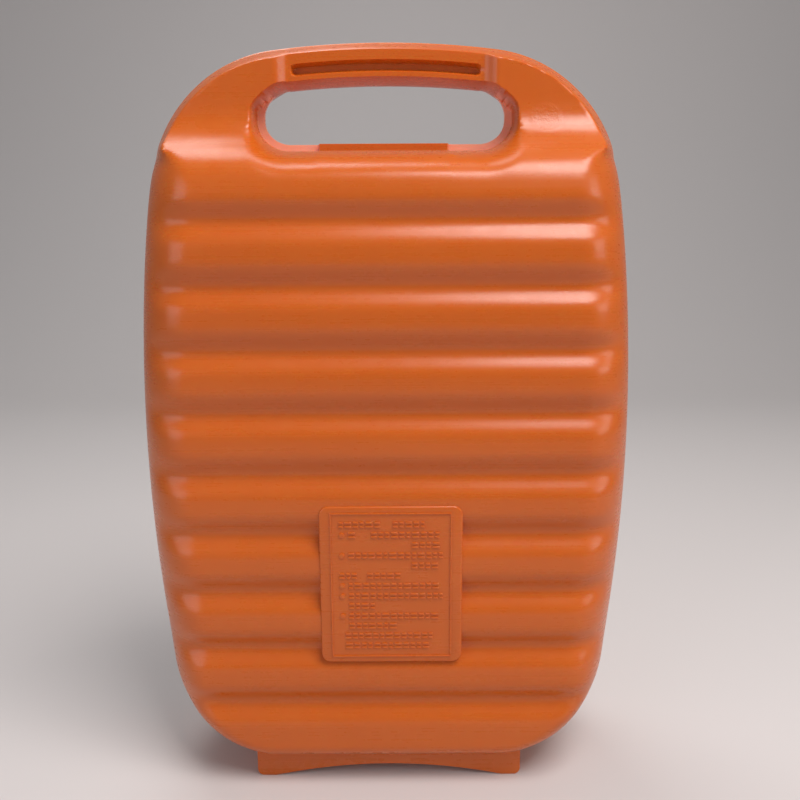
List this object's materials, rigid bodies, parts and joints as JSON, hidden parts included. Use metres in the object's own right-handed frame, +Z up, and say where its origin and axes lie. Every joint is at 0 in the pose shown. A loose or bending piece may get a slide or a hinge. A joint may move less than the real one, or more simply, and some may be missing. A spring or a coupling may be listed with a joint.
{
  "type": "hot water bottle",
  "caption": "Rigid ribbed hot-water bottle that stands on its foot, with a carrying handle in its crown and a screw cap on a tilted neck sunk in the back.",
  "frame": {"origin": "on the floor, under the middle of the foot", "axes": "+X to the right across the width, +Y from the panel face to the neck's face, +Z up"},
  "size_m": [0.207, 0.0755, 0.3106],
  "materials": {
    "polyethylene": "blow-moulded orange polyethylene with a soft gloss",
    "polypropylene": "injection-moulded orange polypropylene, satin",
    "soft_rubber": "moulded off-white silicone rubber, dull"
  },
  "bodies": {
    "bottle": {"bottle_body": "polyethylene"},
    "washer": {"sealing_washer": "soft_rubber"},
    "cap": {"screw_cap": "polypropylene"}
  },
  "joints": [
    {"name": "cap_rise", "type": "slide", "parent": "bottle", "child": "washer", "axis": [0, 0.9063, 0.4226], "range_m": [0, 0.02]},
    {"name": "cap_turn", "type": "hinge", "parent": "washer", "child": "cap", "pos_m": [0, 0.0247, 0.2455], "axis": [0, 0.9063, 0.4226], "range_deg": [0, 1440]}
  ],
  "couplings": [
    {"joint": "cap_rise", "follows": "cap_turn", "m_per_rad": 0.00079577}
  ]
}
